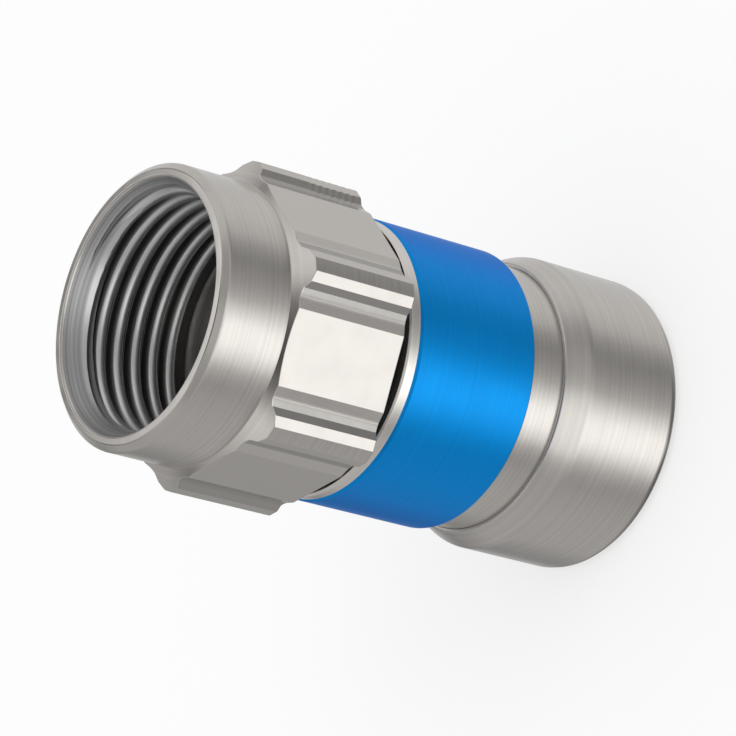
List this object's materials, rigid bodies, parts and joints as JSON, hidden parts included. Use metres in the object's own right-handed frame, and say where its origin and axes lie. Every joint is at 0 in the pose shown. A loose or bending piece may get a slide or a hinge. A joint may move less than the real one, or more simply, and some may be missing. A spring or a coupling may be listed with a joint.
{
  "type": "f connector",
  "caption": "Compression F connector for coaxial cable, with a threaded hexagon nut that turns, a coloured band and a rear sleeve that presses home.",
  "frame": {"origin": "centre of the rear end face, where the cable goes in and on which the connector stands", "axes": "+Z along the connector's axis, towards the nut's mouth; one flat of the nut faces -Y"},
  "size_m": [0.0124, 0.0114, 0.0212],
  "materials": {
    "plated_nut": "fine turned, nickel-tin plated",
    "plated_ferrule": "fine turned, nickel-tin plated",
    "plated_body": "fine turned, nickel-tin plated",
    "plated_sleeve": "fine turned, nickel-tin plated",
    "blue_band": "satin blue anodised",
    "acetal": "moulded",
    "seal_rubber": "moulded"
  },
  "bodies": {
    "body": {"connector_body": "plated_body", "ferrule": "plated_ferrule", "colour_band": "blue_band", "nut_seal_ring": "seal_rubber", "sleeve_seal_ring": "seal_rubber"},
    "nut": {"coupling_nut": "plated_nut"},
    "sleeve": {"compression_sleeve": "plated_sleeve", "grip_ring": "acetal"}
  },
  "joints": [
    {"name": "nut_spin", "type": "hinge", "parent": "body", "child": "nut", "pos_m": [0, 0, 0.01443], "axis": [0, 0, 1], "continuous": true},
    {"name": "sleeve_slide", "type": "slide", "parent": "body", "child": "sleeve", "axis": [0, 0, 1], "range_m": [0, 0.0015]}
  ]
}
